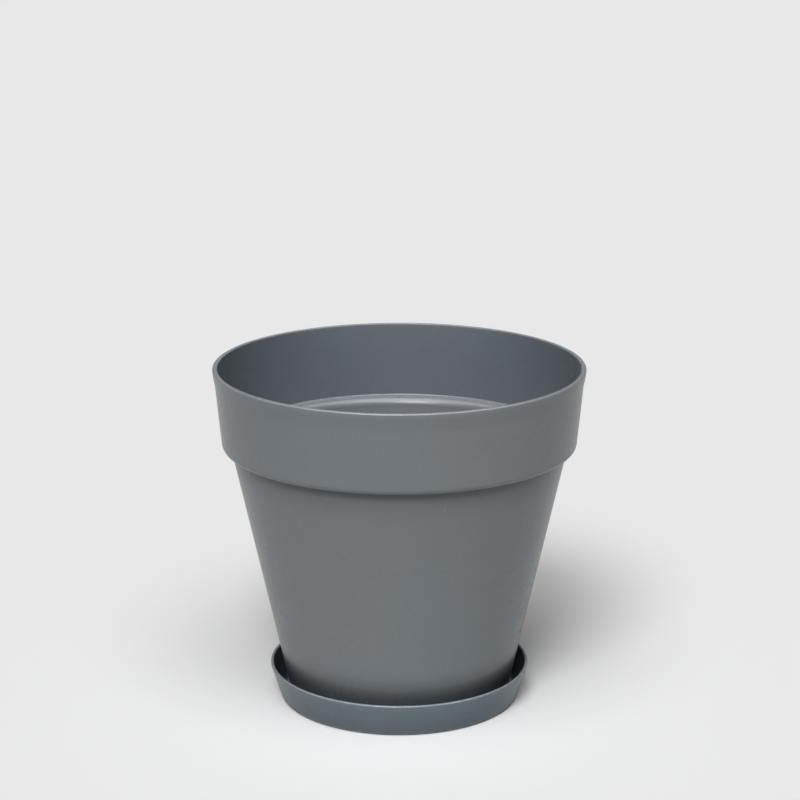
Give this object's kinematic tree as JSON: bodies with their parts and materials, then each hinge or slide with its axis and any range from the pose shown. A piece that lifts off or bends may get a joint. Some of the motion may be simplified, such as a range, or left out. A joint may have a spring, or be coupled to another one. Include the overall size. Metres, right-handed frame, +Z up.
{
  "type": "plant pot with saucer",
  "caption": "Round tapered plant pot with a deep collar below its rim and drain holes in its floor, standing in a shallow flared saucer that it lifts out of.",
  "frame": {"origin": "centre of the saucer's underside, on the surface that it stands on", "axes": "+Z up along the common axis of the pot and the saucer; +X and +Y are level"},
  "size_m": [0.3, 0.3, 0.2788],
  "materials": {
    "pot_plastic": "slate grey moulded polypropylene, satin matt with a very fine grain",
    "saucer_plastic": "slate grey moulded polypropylene, satin matt with a very fine grain"
  },
  "bodies": {
    "saucer_body": {"saucer": "saucer_plastic"},
    "pot_body": {"pot": "pot_plastic"}
  },
  "joints": [
    {"name": "pot_lift", "type": "slide", "parent": "saucer_body", "child": "pot_body", "axis": [0, 0, 1], "range_m": [0, 0.06]}
  ]
}
